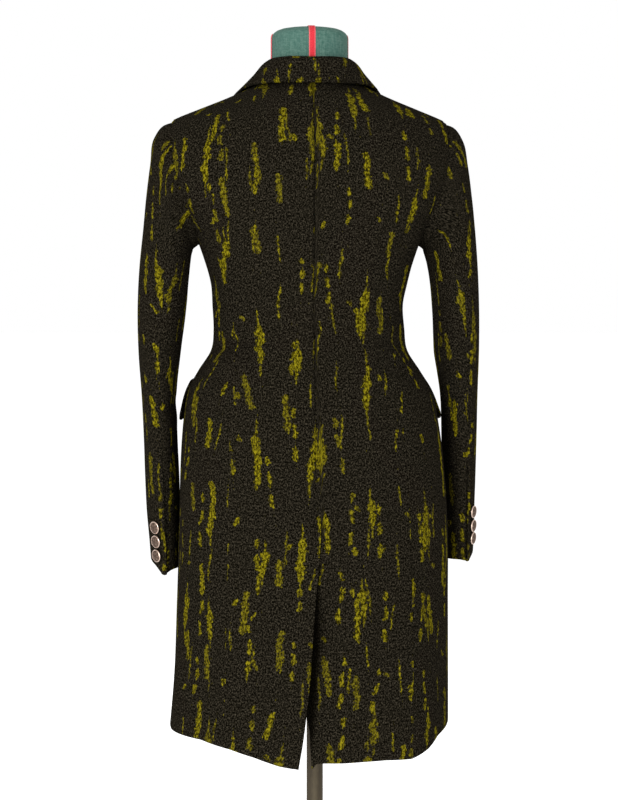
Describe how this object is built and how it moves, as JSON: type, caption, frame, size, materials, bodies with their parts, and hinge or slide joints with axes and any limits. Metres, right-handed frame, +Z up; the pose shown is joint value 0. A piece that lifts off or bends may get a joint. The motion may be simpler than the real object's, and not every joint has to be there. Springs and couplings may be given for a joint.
{
  "type": "wool coat on a limbless dress form",
  "caption": "Knee-length tailored wool coat with set-in sleeves, turned-over collar, pocket flaps and back vent, worn by a limbless dress form on a post and round base.",
  "frame": {"origin": "floor point under the post, at the centre of the base's underside", "axes": "+Z up along the post, -Y towards the coat's front, +X towards the wearer's left"},
  "size_m": [0.4791, 0.37, 1.4965],
  "materials": {
    "wool": "matt napped wool with olive yellow streaks",
    "button_metal": "polished pale rose metal",
    "form_cover": "matt woven cover",
    "tape": "matt woven tape",
    "stand_wood": "weathered oiled wood"
  },
  "bodies": {
    "root": {"back_left": "wool", "back_right": "wool", "side_left": "wool", "side_right": "wool", "front_left": "wool", "front_right": "wool", "lapel_left": "wool", "lapel_right": "wool", "collar": "wool", "sleeve_top_left": "wool", "sleeve_under_left": "wool", "sleeve_top_right": "wool", "sleeve_under_right": "wool", "flap_left": "wool", "flap_right": "wool", "cuff_button_left_1": "button_metal", "cuff_button_left_2": "button_metal", "cuff_button_left_3": "button_metal", "cuff_button_right_1": "button_metal", "cuff_button_right_2": "button_metal", "cuff_button_right_3": "button_metal", "front_button_1": "button_metal", "front_button_2": "button_metal", "front_button_3": "button_metal", "form": "form_cover", "tape_back": "tape", "tape_left": "tape", "tape_right": "tape", "post": "stand_wood", "base": "stand_wood"}
  },
  "joints": []
}
